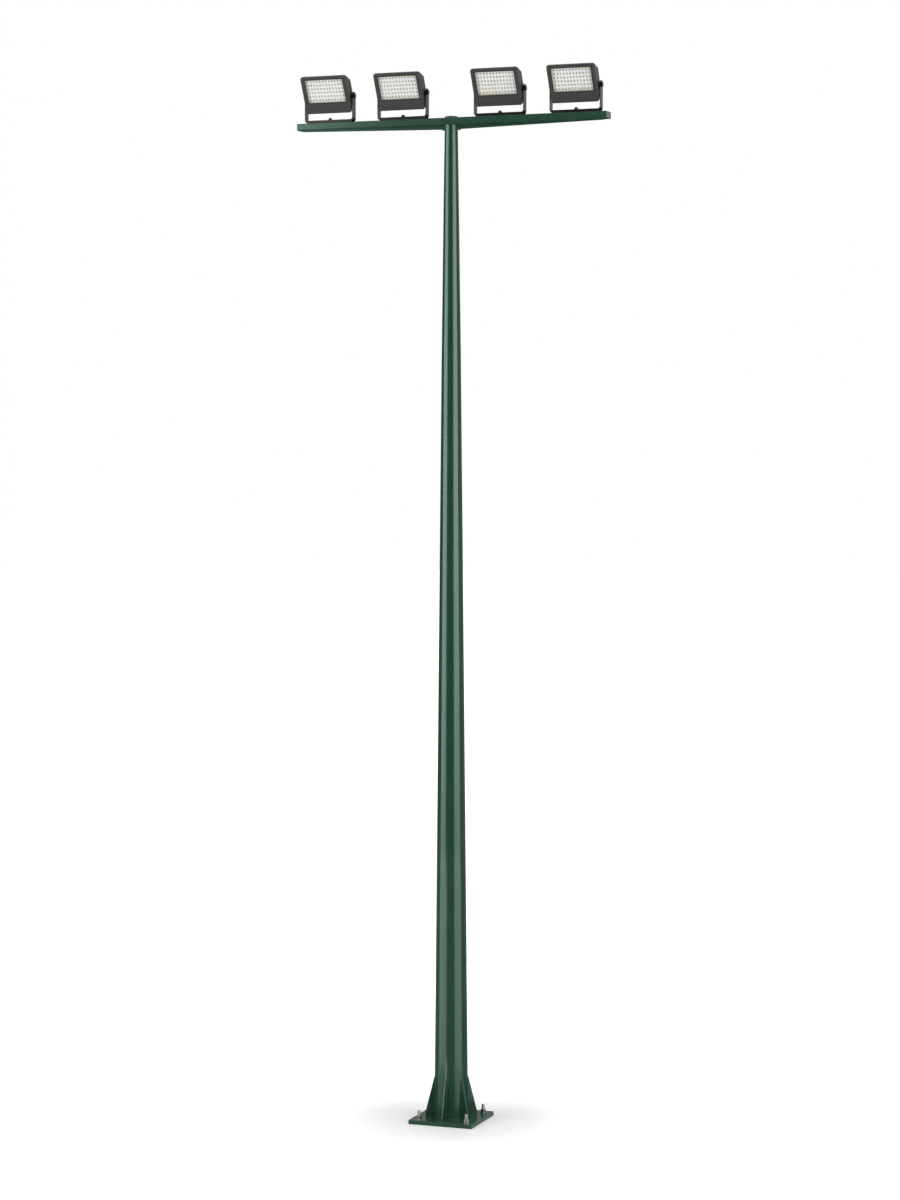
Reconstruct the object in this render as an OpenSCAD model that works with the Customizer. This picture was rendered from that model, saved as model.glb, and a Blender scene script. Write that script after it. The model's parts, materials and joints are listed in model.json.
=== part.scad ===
// Crossbar floodlight pole. A conical steel mast stands on a gusseted base plate and carries
// a rectangular crossbar with four floodlights, each tilting in a yoke that turns on one bolt.
// Millimetres. Origin at the centre of the base plate's underside, +Z up, +X along the
// crossbar, and the floodlights face -Y.

/* [Mast] */
// Height of the top of the mast above the ground
mast_h = 6000; // [4000:50:9000]
// Outer diameter of the shaft at the base plate
shaft_base_d = 204; // [150:2:240]
// Outer diameter of the shaft at its top
shaft_top_d = 78; // [60:1:82]
// Outer diameter of the shaft where its taper steepens
shaft_knee_d = 114; // [96:1:136]
// Distance of that place below the mast's top
shaft_knee_drop = 1400; // [1000:50:2000]
// Wall thickness of the shaft
shaft_wall = 4; // [3:0.5:8]
// Thickness of the cap welded on the shaft
cap_t = 6; // [4:1:9]
// Width of the bevel round the cap's top edge
cap_bevel = 2; // [0.5:0.5:3]

/* [Base] */
// Side of the square base plate
plate_w = 400; // [360:5:600]
// Thickness of the base plate
plate_t = 25; // [10:1:40]
// Diameter of the cable hole in the middle of the plate
cable_hole_d = 100; // [40:5:130]
// Number of gussets round the shaft
gusset_count = 6; // [4:1:8]
// Height of the gussets above the plate
gusset_h = 240; // [120:2:400]
// Distance of the gussets' outer edge from the mast's axis
gusset_reach = 157; // [135:1:175]
// Height of the gussets' upright outer edge
gusset_toe = 25; // [5:1:50]
// Thickness of each gusset
gusset_t = 10; // [6:1:16]
// Flat land on top of each gusset, out from the shaft
gusset_land = 4; // [2:1:12]

/* [Anchors] */
// Spacing of the anchor studs, both ways
anchor_spacing = 300; // [280:5:500]
// Diameter of the anchor studs
stud_d = 20; // [12:1:27]
// Height of the studs above the plate
stud_stand = 50; // [40:1:90]
// How much thinner the free threads above the nuts are than the studs
thread_play = 0.4; // [0.4:0.1:1]
// Radial clearance of the studs in the plate
stud_clearance = 2; // [0.5:0.5:4]
// Width of the nuts across their flats
nut_af = 30; // [29:1:41]
// Height of the nuts
nut_h = 18; // [10:1:24]
// Outer diameter of the washers
washer_d = 37; // [34:1:50]
// Thickness of the washers
washer_t = 3; // [2:0.5:5]

/* [Crossbar] */
// Overall length of the crossbar
beam_l = 1950; // [1900:10:2600]
// Depth of the crossbar, front to back
beam_d = 90; // [90:1:140]
// Height of the crossbar
beam_h = 40; // [30:1:80]
// Wall thickness of the crossbar
beam_wall = 3; // [2:0.5:3.5]
// Outer radius of the crossbar's long edges
beam_edge_r = 5; // [4:0.5:8]
// Thickness of the plates that close the crossbar
end_cap_t = 3; // [2:0.5:8]
// Height of the mast's top above the crossbar
mast_stand = 10; // [8:1:40]
// Radial clearance between the shaft and the crossbar
shaft_clearance = 0.3; // [0.2:0.1:0.5]
// Thickness of the ribs under the crossbar
rib_t = 8; // [5:1:16]
// Height of the ribs beside the mast
rib_root_h = 26; // [10:1:60]
// Height of the ribs at their tips
rib_tip_h = 6.5; // [3:0.5:12]
// Distance of the ribs' tips from the crossbar's ends
rib_tip_inset = 30; // [10:5:200]
// Height of the lugs that weld the ribs to the mast
lug_h = 31; // [15:1:70]
// Width of the lugs, out from the mast
lug_w = 16; // [8:1:40]
// Thickness of the lugs
lug_t = 24; // [17:1:40]

/* [Floodlights] */
// Distance of the outer floodlights' middles from the crossbar's ends
lamp_end_inset = 199; // [170:1:230]
// Spacing of the two floodlights on each arm
lamp_spacing = 470; // [440:1:480]
// Downward tilt of the floodlights
lamp_tilt = 27; // [0:1:60]
// Width of the bezel
bezel_w = 292; // [276:1:300]
// Height of the bezel
bezel_h = 232; // [215:1:250]
// Thickness of the bezel
bezel_t = 14; // [11:1:20]
// Radius of the bezel's corners
bezel_corner_r = 13; // [8:1:20]
// Wall thickness of the bezel's lower panel
bezel_wall = 3; // [2:0.5:5]
// Distance from the front of the bezel to the pivot axis
pivot_depth = 60; // [46:1:62]
// Height of the bezel's middle above the pivot axis
face_rise = 34; // [20:1:42]
// Width of the window
window_w = 240; // [200:1:250]
// Height of the window
window_h = 142; // [120:1:150]
// Height of the rail above the window
window_rail = 22; // [14:1:28]
// Width of the sunk rim round the window
rim_w = 5; // [2:0.5:6]
// Depth of the sunk rim
rim_sink = 2; // [1:0.5:3]
// Thickness of the window's lip in front of the glass
lip_t = 2; // [1:0.5:3]
// Thickness of the glass
glass_t = 4; // [3:0.5:6]
// Width of the glass that lies behind the lip
glass_lap = 5; // [3:0.5:7]
// Clearance round the glass and round the lamp board
glass_clearance = 0.5; // [0.2:0.1:1]
// Thickness of the lamp board
board_t = 2; // [1:0.5:3]

/* [Floodlight housing] */
// Step in from the bezel's edge to the housing's side
housing_step = 4; // [3:0.5:6]
// Depth of the housing, from the front of the bezel to its back
housing_d = 78; // [66:1:92]
// Thickness of the plate that carries the lamp board
backplate_t = 10; // [6:1:14]
// Thickness of the housing's side walls
side_wall = 4; // [3:0.5:6]
// Wall thickness of the driver box
driver_wall = 3; // [2:0.5:5]
// Height of the driver box, up from the housing's bottom edge
driver_h = 66; // [58:1:72]
// Depth of the flat on top of the housing, behind the bezel
top_land = 4; // [2:1:12]
// Height of the slant from that flat down to the housing's back
upper_drop = 52; // [30:1:70]
// Size of the slant at the housing's lower back edge
lower_slant = 22; // [8:1:30]
// Number of cooling fins between the side walls
fin_count = 13; // [5:1:17]
// Thickness of the cooling fins
fin_t = 3; // [2:0.5:4]
// Outer diameter of the cable gland
gland_d = 20; // [16:1:26]
// Length of the cable gland
gland_l = 18; // [12:1:26]
// Diameter of the cable hole in the gland
gland_bore_d = 9; // [6:0.5:11]
// Distance of the cable gland from the housing's middle
gland_x = 60; // [0:1:100]

/* [Yokes and bolts] */
// Height of the pivot axis above the crossbar
pivot_h = 158; // [148:1:200]
// Width of the yoke's strap
strap_w = 50; // [36:1:60]
// Thickness of the yoke's strap
strap_t = 4; // [3:0.5:6]
// Overall height of the yoke's base, with its turned-down flanges
yoke_base_h = 18; // [9:1:22]
// Radius of the yoke's outer lower corners
yoke_corner_r = 24; // [19:1:32]
// Gap between the bezel and the yoke's arms
yoke_gap = 5.5; // [5.5:0.5:10]
// Diameter of the pivot bolts
pivot_d = 10; // [8:1:14]
// Diameter of the round bosses on the housing's sides
boss_d = 34; // [24:1:40]
// Diameter of the pivot bolts' heads
pivot_head_d = 30; // [22:1:36]
// Thickness of the pivot bolts' heads
pivot_head_t = 8; // [6:1:16]
// Diameter of the bolt that holds each yoke
yoke_bolt_d = 12; // [8:1:14]
// Height of the cap nut on each yoke bolt
cap_nut_h = 13; // [12:1:20]
// Width of the cap nut across its flats
cap_nut_af = 22; // [18:1:24]
// Outer diameter of the cap nut's washer
cap_washer_d = 29; // [24:1:32]
// Thickness of the cap nut's washer
cap_washer_t = 2; // [1:0.5:4]
// Height of the nut inside the crossbar
beam_nut_h = 8; // [5:1:12]
// Gap at each face that slides as a floodlight turns or tilts
slide_gap = 0.2; // [0.1:0.1:0.3]

/* [Hidden] */
$fn = 64;
LAMP_COUNT = 4;
BODY_PIECES = ["housing", "bezel", "glass", "led_board", "pivot_bolts", "cable_gland"];

MAST_GREEN = [0.13, 0.29, 0.22];
LAMP_GREY = [0.27, 0.28, 0.27];
YOKE_BLACK = [0.13, 0.13, 0.13];
BARE_STEEL = [0.72, 0.72, 0.70];
BOARD_WHITE = [0.86, 0.85, 0.80];
GLASS_CLEAR = [0.80, 0.87, 0.90, 0.35];

// overlap given to cutting tools so that no face is left coplanar
cut = 1;
// how far the round faces of the nuts lie inside their flats
nut_face_inset = 0.6;
shaft_end = mast_h - cap_t;
shaft_knee = mast_h - shaft_knee_drop;
beam_top = mast_h - mast_stand;
beam_bottom = beam_top - beam_h;
anchor_points = [for (x = [-1, 1], y = [-1, 1]) [x, y] * anchor_spacing / 2];
washer_bore_d = stud_d + 2 * stud_clearance;
lamp_outer_x = beam_l / 2 - lamp_end_inset;
lamp_inner_x = lamp_outer_x - lamp_spacing;
lamp_xs = [-lamp_outer_x, -lamp_inner_x, lamp_inner_x, lamp_outer_x];

// floodlight positions, measured from the pivot axis with the floodlight upright
face_y = -pivot_depth;
bezel_back = face_y + bezel_t;
bezel_bottom = face_rise - bezel_h / 2;
window_bottom = bezel_bottom + bezel_h - window_rail - window_h;
housing_w = bezel_w - 2 * housing_step;
housing_h = bezel_h - 2 * housing_step;
housing_bottom = bezel_bottom + housing_step;
housing_top = housing_bottom + housing_h;
housing_back = face_y + housing_d;
housing_corner_r = bezel_corner_r - housing_step;
backplate_back = bezel_back + backplate_t;
driver_top = housing_bottom + driver_h;
glass_w = window_w + 2 * glass_lap;
glass_h = window_h + 2 * glass_lap;

// yoke positions, measured from the pivot axis and from the crossbar's top
yoke_inner_w = bezel_w + 2 * yoke_gap;
yoke_w = yoke_inner_w + 2 * strap_t;
yoke_bottom = slide_gap;
pivot_z = beam_top + pivot_h;

function lamp_node(i, piece) = str("lamp_", i, "_", piece);
function taper_r(z, from, from_d, to, to_d) =
    (from_d + (to_d - from_d) * (z - from) / (to - from)) / 2;
function shaft_r(z) =
    z < shaft_knee
        ? taper_r(z, plate_t, shaft_base_d, shaft_knee, shaft_knee_d)
        : taper_r(z, shaft_knee, shaft_knee_d, shaft_end, shaft_top_d);
function hex_r(across_flats) = across_flats / 2 / cos(30);

// ---- shared shapes ----

// rectangle with rounded corners, centred in x and standing on y = 0
module round_rect(w, h, r) {
    translate([-w / 2, r]) square([w, h - 2 * r]);
    translate([r - w / 2, 0]) square([w - 2 * r, h]);
    for (x = [r - w / 2, w / 2 - r], y = [r, h - r]) translate([x, y]) circle(r);
}

// upright slab whose outline lies in the XZ plane, from y = front to y = front + depth
module upright(front, depth) {
    translate([0, front + depth, 0]) rotate([90, 0, 0]) linear_extrude(depth) children();
}

// slab whose outline is drawn as (y, z), from x = from to x = from + width
module sideways(from, width) {
    translate([from, 0, 0]) rotate([90, 0, 90]) linear_extrude(width) children();
}

// round bar along x
module bar_x(from, length, r) {
    translate([from, 0, 0]) rotate([0, 90, 0]) cylinder(h = length, r = r);
}

// hexagonal blank with its corners turned off at 30 degrees at both ends
module hex_blank(across_flats, h) {
    corner_r = hex_r(across_flats);
    face_r = across_flats / 2 - nut_face_inset;
    outside_r = corner_r + cut;
    turned = (outside_r - face_r) * tan(30);
    intersection() {
        cylinder(h = h, r = corner_r, $fn = 6);
        rotate_extrude() polygon([
            [0, 0],
            [face_r, 0],
            [outside_r, turned],
            [outside_r, h - turned],
            [face_r, h],
            [0, h]
        ]);
    }
}

// solid bar with the shaft's tapers, from one height to another and thinner all round by shrink
module shaft_solid(shrink = 0, from = plate_t, to = shaft_end) {
    knees = from < shaft_knee && shaft_knee < to ? [shaft_knee] : [];
    side = [for (z = concat([from], knees, [to])) [shaft_r(z) - shrink, z]];
    rotate_extrude() polygon(concat([[0, from]], side, [[0, to]]));
}

// ---- base ----

module base_plate() {
    color(MAST_GREEN) difference() {
        translate([-plate_w / 2, -plate_w / 2, 0]) cube([plate_w, plate_w, plate_t]);
        translate([0, 0, -cut]) cylinder(h = plate_t + 2 * cut, d = cable_hole_d);
        for (p = anchor_points)
            translate([p.x, p.y, -cut])
                cylinder(h = plate_t + 2 * cut, r = stud_d / 2 + stud_clearance);
    }
}

module base_gussets() {
    gusset_top = plate_t + gusset_h;
    color(MAST_GREEN) difference() {
        for (k = [0:gusset_count - 1])
            rotate([0, 0, -90 + 360 / gusset_count * k])
                translate([0, gusset_t / 2, 0]) rotate([90, 0, 0]) linear_extrude(gusset_t)
                    polygon([
                        [shaft_r(plate_t) / 2, plate_t],
                        [gusset_reach, plate_t],
                        [gusset_reach, plate_t + gusset_toe],
                        [shaft_r(gusset_top) + gusset_land, gusset_top],
                        [shaft_r(plate_t) / 2, gusset_top]
                    ]);
        shaft_solid(from = plate_t - cut, to = gusset_top + cut);
    }
}

module anchor_studs() {
    shank_h = plate_t + washer_t + nut_h;
    tip_h = stud_d / 10;
    thread_d = stud_d - thread_play;
    thread_h = stud_stand - washer_t - nut_h - tip_h;
    color(BARE_STEEL) for (p = anchor_points)
        translate([p.x, p.y, 0]) {
            cylinder(h = shank_h, d = stud_d);
            translate([0, 0, shank_h]) cylinder(h = thread_h, d = thread_d);
            translate([0, 0, shank_h + thread_h])
                cylinder(h = tip_h, d1 = thread_d, d2 = thread_d - 2 * tip_h);
        }
}

module anchor_nuts() {
    color(BARE_STEEL) for (p = anchor_points)
        translate([p.x, p.y, plate_t + washer_t]) difference() {
            hex_blank(nut_af, nut_h);
            translate([0, 0, -cut]) cylinder(h = nut_h + 2 * cut, d = stud_d);
        }
}

module anchor_washers() {
    color(BARE_STEEL) for (p = anchor_points)
        translate([p.x, p.y, plate_t]) difference() {
            cylinder(h = washer_t, d = washer_d);
            translate([0, 0, -cut]) cylinder(h = washer_t + 2 * cut, d = washer_bore_d);
        }
}

// ---- mast ----

module mast_shaft() {
    color(MAST_GREEN) difference() {
        shaft_solid();
        shaft_solid(shrink = shaft_wall, from = plate_t - cut, to = shaft_end + cut);
    }
}

module mast_cap() {
    color(MAST_GREEN) translate([0, 0, shaft_end]) {
        cylinder(h = cap_t - cap_bevel, d = shaft_top_d);
        translate([0, 0, cap_t - cap_bevel])
            cylinder(h = cap_bevel, d1 = shaft_top_d, d2 = shaft_top_d - 2 * cap_bevel);
    }
}

// ---- crossbar ----

module beam_outline(shrink = 0) {
    translate([0, beam_bottom + shrink])
        round_rect(beam_d - 2 * shrink, beam_h - 2 * shrink, beam_edge_r - shrink);
}

module crossbar_tube() {
    tube_l = beam_l - 2 * end_cap_t;
    color(MAST_GREEN) difference() {
        sideways(-tube_l / 2, tube_l) beam_outline();
        sideways(-tube_l / 2 - cut, tube_l + 2 * cut) beam_outline(beam_wall);
        translate([0, 0, beam_bottom - cut])
            cylinder(h = beam_h + 2 * cut, r = shaft_r(beam_bottom) + shaft_clearance);
        for (x = lamp_xs)
            translate([x, 0, beam_top - beam_wall - cut])
                cylinder(h = beam_wall + 2 * cut, d = yoke_bolt_d);
    }
}

module crossbar_end_cap(side) {
    color(MAST_GREEN) sideways(side > 0 ? beam_l / 2 - end_cap_t : -beam_l / 2, end_cap_t)
        beam_outline();
}

// rib on the +x arm, mirrored for the other one
module crossbar_rib(side) {
    rib_end = beam_l / 2 - rib_tip_inset;
    lug_end = shaft_r(beam_bottom) + lug_w;
    color(MAST_GREEN) mirror([side > 0 ? 0 : 1, 0, 0]) difference() {
        union() {
            upright(-rib_t / 2, rib_t) polygon([
                [0, beam_bottom],
                [rib_end, beam_bottom],
                [rib_end, beam_bottom - rib_tip_h],
                [lug_end, beam_bottom - rib_root_h],
                [0, beam_bottom - rib_root_h]
            ]);
            translate([0, -lug_t / 2, beam_bottom - lug_h]) cube([lug_end, lug_t, lug_h]);
        }
        shaft_solid(from = beam_bottom - max(lug_h, rib_root_h) - cut, to = beam_bottom + cut);
        translate([-lug_t, -lug_t, beam_bottom - lug_h - rib_root_h])
            cube([lug_t, 2 * lug_t, lug_h + 2 * rib_root_h]);
    }
}

// ---- yokes, fixed to the crossbar by one bolt each ----

// front outline of the yoke's outer edge, from height z = 0 at its foot up to the pivot axis
module yoke_block(w, foot, r) {
    top = pivot_h;
    difference() {
        translate([0, foot]) round_rect(w, top - foot + r + cut, r);
        translate([-w, top]) square([2 * w, 2 * r + 2 * cut]);
    }
}

module yoke() {
    inner_foot = yoke_bottom + yoke_base_h;
    inner_r = yoke_corner_r - strap_t - (yoke_base_h - strap_t) / 2;
    flange_top = inner_foot + inner_r;
    color(YOKE_BLACK) translate([0, 0, beam_top]) difference() {
        union() {
            // the strap, bent up into the two arms
            upright(-strap_w / 2, strap_w) difference() {
                yoke_block(yoke_w, inner_foot - strap_t, inner_r + strap_t);
                yoke_block(yoke_inner_w, inner_foot, inner_r);
            }
            // the flanges turned down along both edges of the base
            for (y = [-strap_w / 2, strap_w / 2 - strap_t])
                upright(y, strap_t) difference() {
                    yoke_block(yoke_w, yoke_bottom, yoke_corner_r);
                    yoke_block(yoke_inner_w, inner_foot, inner_r);
                    translate([-yoke_w, flange_top]) square([2 * yoke_w, pivot_h]);
                }
            // round tops of the arms
            for (x = [-yoke_w / 2, yoke_inner_w / 2])
                translate([0, 0, pivot_h]) bar_x(x, strap_t, strap_w / 2);
        }
        translate([0, 0, pivot_h])
            bar_x(-yoke_w / 2 - cut, yoke_w + 2 * cut, pivot_d / 2 + slide_gap);
        cylinder(h = inner_foot + cut, r = yoke_bolt_d / 2 + slide_gap);
    }
}

module yoke_bolt() {
    washer_z = yoke_bottom + yoke_base_h + slide_gap;
    nut_z = washer_z + cap_washer_t;
    hex_h = cap_nut_h / 2;
    dome_r = cap_nut_af / 2 - 1;
    color(YOKE_BLACK) translate([0, 0, beam_top]) {
        translate([0, 0, -beam_wall - beam_nut_h])
            cylinder(h = beam_wall + beam_nut_h + nut_z, d = yoke_bolt_d);
        translate([0, 0, -beam_wall - beam_nut_h]) hex_blank(cap_nut_af, beam_nut_h);
        translate([0, 0, washer_z]) cylinder(h = cap_washer_t, d = cap_washer_d);
        translate([0, 0, nut_z]) {
            hex_blank(cap_nut_af, hex_h);
            rotate_extrude() intersection() {
                translate([0, cap_nut_h - dome_r]) circle(dome_r);
                square([dome_r, cap_nut_h]);
            }
        }
    }
}

// ---- floodlight body, which tilts about the pivot axis at its origin ----

// window opening, widened all round by grow
module window_outline(grow) {
    translate([-window_w / 2 - grow, window_bottom - grow])
        square([window_w + 2 * grow, window_h + 2 * grow]);
}

module bezel() {
    pocket_top = window_bottom - glass_lap - glass_clearance - bezel_wall;
    pocket_bottom = bezel_bottom + housing_step + driver_wall;
    color(LAMP_GREY) difference() {
        upright(face_y, bezel_t) translate([0, bezel_bottom])
            round_rect(bezel_w, bezel_h, bezel_corner_r);
        upright(face_y - cut, bezel_t + 2 * cut) window_outline(0);
        upright(face_y - cut, rim_sink + cut) window_outline(rim_w);
        upright(face_y + rim_sink + lip_t, bezel_t) window_outline(glass_lap + glass_clearance);
        upright(face_y + bezel_wall, bezel_t)
            translate([-housing_w / 2 + side_wall, pocket_bottom])
                square([housing_w - 2 * side_wall, pocket_top - pocket_bottom]);
    }
}

module glass() {
    color(GLASS_CLEAR) upright(face_y + rim_sink + lip_t, glass_t) window_outline(glass_lap);
}

module led_board() {
    color(BOARD_WHITE) upright(bezel_back, board_t) window_outline(glass_lap);
}

// side outline of the housing, drawn as (y, z)
module housing_profile() {
    polygon([
        [bezel_back, housing_bottom],
        [housing_back - lower_slant, housing_bottom],
        [housing_back, housing_bottom + lower_slant],
        [housing_back, housing_top - upper_drop],
        [bezel_back + top_land, housing_top],
        [bezel_back, housing_top]
    ]);
}

module driver_cavity() {
    wall = driver_wall;
    sideways(side_wall - housing_w / 2, housing_w - 2 * side_wall) polygon([
        [bezel_back - cut, housing_bottom + wall],
        [housing_back - lower_slant - wall / 2, housing_bottom + wall],
        [housing_back - wall, housing_bottom + lower_slant + wall / 2],
        [housing_back - wall, driver_top - wall],
        [backplate_back, driver_top - wall],
        [backplate_back, driver_top - 2 * wall],
        [bezel_back - cut, driver_top - 2 * wall]
    ]);
}

// spaces between the cooling fins, open at the back and at the top
module fin_gaps() {
    pitch = (housing_w - side_wall) / (fin_count + 1);
    first_wall = (side_wall - housing_w) / 2;
    for (k = [0:fin_count]) {
        left = first_wall + k * pitch + (k == 0 ? side_wall : fin_t) / 2;
        right = first_wall + (k + 1) * pitch - (k == fin_count ? side_wall : fin_t) / 2;
        translate([left, backplate_back, driver_top])
            cube([right - left, housing_d, housing_h]);
    }
}

module housing() {
    boss_start = (housing_w - side_wall) / 2;
    boss_end = yoke_inner_w / 2 - slide_gap;
    color(LAMP_GREY) difference() {
        union() {
            difference() {
                intersection() {
                    upright(bezel_back, housing_d) translate([0, housing_bottom])
                        round_rect(housing_w, housing_h, housing_corner_r);
                    sideways(-housing_w, 2 * housing_w) housing_profile();
                }
                fin_gaps();
            }
            // bosses that meet the yoke's arms
            bar_x(boss_start, boss_end - boss_start, boss_d / 2);
            bar_x(-boss_end, boss_end - boss_start, boss_d / 2);
        }
        driver_cavity();
        upright(bezel_back - cut, board_t + cut) window_outline(glass_lap + glass_clearance);
        for (x = [-yoke_w / 2, housing_w / 2 - side_wall - cut])
            bar_x(x, yoke_w / 2 - housing_w / 2 + side_wall + cut, pivot_d / 2);
    }
}

module pivot_bolts() {
    shank_l = strap_t + 2 * slide_gap + yoke_gap + housing_step + side_wall;
    color(YOKE_BLACK) for (side = [0, 1])
        mirror([side, 0, 0]) {
            bar_x(yoke_w / 2 + slide_gap - shank_l, shank_l, pivot_d / 2);
            bar_x(yoke_w / 2 + slide_gap, pivot_head_t, pivot_head_d / 2);
        }
}

module cable_gland() {
    hex_l = gland_l / 3;
    color(YOKE_BLACK) translate([gland_x, housing_back, housing_bottom + (lower_slant + driver_h) / 2])
        rotate([-90, 0, 0]) difference() {
            union() {
                cylinder(h = hex_l, r = hex_r(gland_d + 4), $fn = 6);
                translate([0, 0, hex_l]) cylinder(h = gland_l - hex_l, d = gland_d);
            }
            translate([0, 0, hex_l]) cylinder(h = gland_l, d = gland_bore_d);
        }
}

// ---- placing ----

module on_crossbar(x) {
    translate([x, 0, 0]) children();
}

module on_pivot(x) {
    translate([x, 0, pivot_z]) rotate([lamp_tilt, 0, 0]) children();
}

base_plate();
base_gussets();
anchor_studs();
anchor_nuts();
anchor_washers();
mast_shaft();
mast_cap();
crossbar_tube();
crossbar_end_cap(-1);  // crossbar_end_cap_left
crossbar_end_cap(1);  // crossbar_end_cap_right
crossbar_rib(-1);  // crossbar_rib_left
crossbar_rib(1);  // crossbar_rib_right
for (i = [1:LAMP_COUNT]) {
    x = lamp_xs[i - 1];
    on_crossbar(x) yoke();
    on_crossbar(x) yoke_bolt();
    on_pivot(x) housing();
    on_pivot(x) bezel();
    on_pivot(x) glass();
    on_pivot(x) led_board();
    on_pivot(x) pivot_bolts();
    on_pivot(x) cable_gland();
}
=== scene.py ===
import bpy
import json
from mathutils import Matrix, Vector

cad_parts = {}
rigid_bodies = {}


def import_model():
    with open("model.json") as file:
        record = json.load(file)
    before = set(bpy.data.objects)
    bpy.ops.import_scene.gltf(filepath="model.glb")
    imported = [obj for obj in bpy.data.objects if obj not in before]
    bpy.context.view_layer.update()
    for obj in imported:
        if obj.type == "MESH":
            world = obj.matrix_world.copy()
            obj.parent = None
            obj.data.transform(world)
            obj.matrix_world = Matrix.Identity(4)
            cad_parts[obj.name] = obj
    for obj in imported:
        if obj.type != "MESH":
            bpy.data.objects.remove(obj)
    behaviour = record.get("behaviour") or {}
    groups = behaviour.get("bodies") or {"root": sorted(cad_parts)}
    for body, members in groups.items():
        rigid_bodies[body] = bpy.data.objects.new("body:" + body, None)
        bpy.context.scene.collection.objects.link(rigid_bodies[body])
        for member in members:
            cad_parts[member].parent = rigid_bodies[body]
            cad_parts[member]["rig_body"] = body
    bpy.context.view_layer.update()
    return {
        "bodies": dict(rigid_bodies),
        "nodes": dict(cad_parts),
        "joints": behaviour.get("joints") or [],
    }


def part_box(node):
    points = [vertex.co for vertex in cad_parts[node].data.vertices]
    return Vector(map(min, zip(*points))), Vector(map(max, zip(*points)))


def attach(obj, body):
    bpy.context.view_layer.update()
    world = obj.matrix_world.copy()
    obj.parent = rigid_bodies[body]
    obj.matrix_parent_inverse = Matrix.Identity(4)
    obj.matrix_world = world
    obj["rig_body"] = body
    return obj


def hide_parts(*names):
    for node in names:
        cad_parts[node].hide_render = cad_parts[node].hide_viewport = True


bl_info = {
    "name": "Crossbar Floodlight Pole",
    "version": (1, 0, 0),
    "blender": (4, 5, 0),
    "location": "View3D > Sidebar > Floodlight Pole",
    "description": "Finishes the pole, its crossbar and its floodlights, and sets up the studio",
    "category": "Object",
}

import json
import math

import bmesh
import bpy
from bpy.props import FloatProperty, FloatVectorProperty, IntProperty, PointerProperty
from mathutils import Matrix, Vector

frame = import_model()

MM = 0.001
MERGE_DISTANCE = 2e-6
FLAT_ANGLE = math.radians(0.4)
CREASE_ANGLE = math.radians(34)
BEAD_SEGMENTS = 10
FLOOR_RADIUS = 90
LAMP_BODIES = sorted(body for body in frame["bodies"] if body.startswith("lamp_"))
JOINT_PLACES = {joint["child"]: Vector(joint["pos_m"]) for joint in frame["joints"]}


# ---- sizes and colours that a user would change ----


def colour(name, description, default):
    return FloatVectorProperty(
        name=name, description=description, default=default, size=3, min=0, max=1,
        subtype="COLOR",
    )


def length(name, description, millimetres):
    return FloatProperty(
        name=name, description=description, default=millimetres * MM, min=0, unit="LENGTH"
    )


def count(name, description, default):
    return IntProperty(
        name=name, description=description, default=default, min=1, subtype="UNSIGNED"
    )


def power(name, description, watts):
    return FloatProperty(name=name, description=description, default=watts, min=0, unit="POWER")


def strength(name, description, default):
    return FloatProperty(name=name, description=description, default=default, min=0)


class PoleColours(bpy.types.PropertyGroup):
    paint: colour("Mast paint", "Moss green coat of the mast and crossbar", (0.0145, 0.062, 0.036))
    casting: colour("Lamp casting", "Grey coat of the housings and bezels", (0.034, 0.034, 0.033))
    yoke: colour("Yoke", "Black coat of the yokes and their bolts", (0.006, 0.006, 0.006))
    zinc: colour("Zinc", "Bare plated steel of the anchors", (0.50, 0.49, 0.46))
    mask: colour("Lamp board", "Bluish white of the lamp boards", (0.93, 0.95, 1.0))
    border: colour("Board border", "Cream border of the lamp boards", (0.92, 0.88, 0.72))
    chip: colour("Chips", "Yellow of the light chips", (0.50, 0.35, 0.03))
    rubber: colour("Rubber", "Black of the gaskets and cable glands", (0.012, 0.012, 0.012))
    glass: colour("Glass", "Faint tint of the window glass", (0.86, 0.92, 0.95))
    dust: colour("Dust", "Fine dust on faces that look up", (0.30, 0.31, 0.27))


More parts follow.
